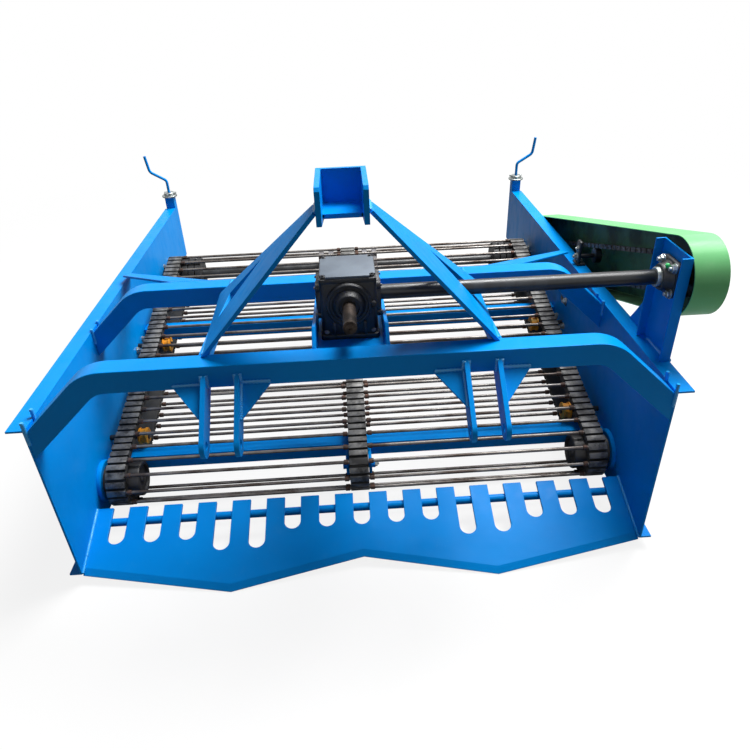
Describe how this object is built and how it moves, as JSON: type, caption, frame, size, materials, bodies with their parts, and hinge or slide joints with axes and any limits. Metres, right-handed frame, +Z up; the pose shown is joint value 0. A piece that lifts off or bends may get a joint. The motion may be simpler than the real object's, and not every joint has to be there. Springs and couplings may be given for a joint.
{
  "type": "potato digger",
  "caption": "Tractor-mounted potato digger: slotted digging share, rising rod web between side plates, arched beams with a top mast, gearbox with side chain drive, and rear depth wheels.",
  "frame": {"origin": "centre of the front end of the splined input shaft", "axes": "+Y to the rear of the machine, along its travel, so the front faces -Y; +Z up; +X to the side with the chain guard"},
  "size_m": [2.02, 2.165, 1.1263],
  "materials": {
    "blue_enamel": "glossy bright blue enamel",
    "black_casting": "black paint on cast iron, half gloss",
    "green_enamel": "mid green enamel",
    "bare_steel": "bare steel, worn and slightly brown",
    "black_enamel": "black enamel, glossy",
    "black_rubber": "black rubber, worn grey on the ridges",
    "tyre_rubber": "black tyre rubber",
    "roller_plastic": "orange plastic, dusty",
    "zinc_plate": "zinc plated steel"
  },
  "bodies": {
    "frame": {"adjuster_collars": "zinc_plate", "beam_ties": "blue_enamel", "bearing_bracket": "blue_enamel", "braces": "blue_enamel", "chain_guard": "green_enamel", "cranks": "blue_enamel", "cross_members": "blue_enamel", "cross_shaft": "black_enamel", "digging_share": "blue_enamel", "drive_bearings": "blue_enamel", "drive_chain": "bare_steel", "drive_sprocket": "bare_steel", "driven_sprocket": "bare_steel", "flange_bearing": "black_casting", "front_arch_beam": "blue_enamel", "gearbox": "black_casting", "gearbox_cradle": "blue_enamel", "idler_arm": "black_enamel", "input_shaft": "bare_steel", "lower_hitch_left": "blue_enamel", "lower_hitch_right": "blue_enamel", "mast_leg_left": "blue_enamel", "mast_leg_right": "blue_enamel", "nose_wheel_centre": "black_rubber", "nose_wheels": "black_rubber", "post_left": "blue_enamel", "post_right": "blue_enamel", "rear_arch_beam": "blue_enamel", "share_tube": "blue_enamel", "side_plate_left": "blue_enamel", "side_plate_right": "blue_enamel", "support_rollers": "roller_plastic", "top_hitch_box": "blue_enamel", "web_belt_centre": "black_rubber", "web_belt_left": "black_rubber", "web_belt_right": "black_rubber", "web_drive_shaft": "black_enamel", "web_rods": "bare_steel"},
    "leg_left": {"wheel_leg_left": "blue_enamel"},
    "leg_right": {"wheel_leg_right": "blue_enamel"},
    "wheel_left": {"wheel_rim_left": "blue_enamel", "tyre_left": "tyre_rubber"},
    "wheel_right": {"wheel_rim_right": "blue_enamel", "tyre_right": "tyre_rubber"}
  },
  "joints": [
    {"name": "depth_left", "type": "slide", "parent": "frame", "child": "leg_left", "axis": [0, 0, 1], "range_m": [-0.06, 0.08]},
    {"name": "wheel_left_spin", "type": "hinge", "parent": "leg_left", "child": "wheel_left", "pos_m": [-0.9575, 1.791, -0.57934], "axis": [1, 0, 0], "continuous": true},
    {"name": "depth_right", "type": "slide", "parent": "frame", "child": "leg_right", "axis": [0, 0, 1], "range_m": [-0.06, 0.08]},
    {"name": "wheel_right_spin", "type": "hinge", "parent": "leg_right", "child": "wheel_right", "pos_m": [0.9575, 1.791, -0.57934], "axis": [1, 0, 0], "continuous": true}
  ]
}
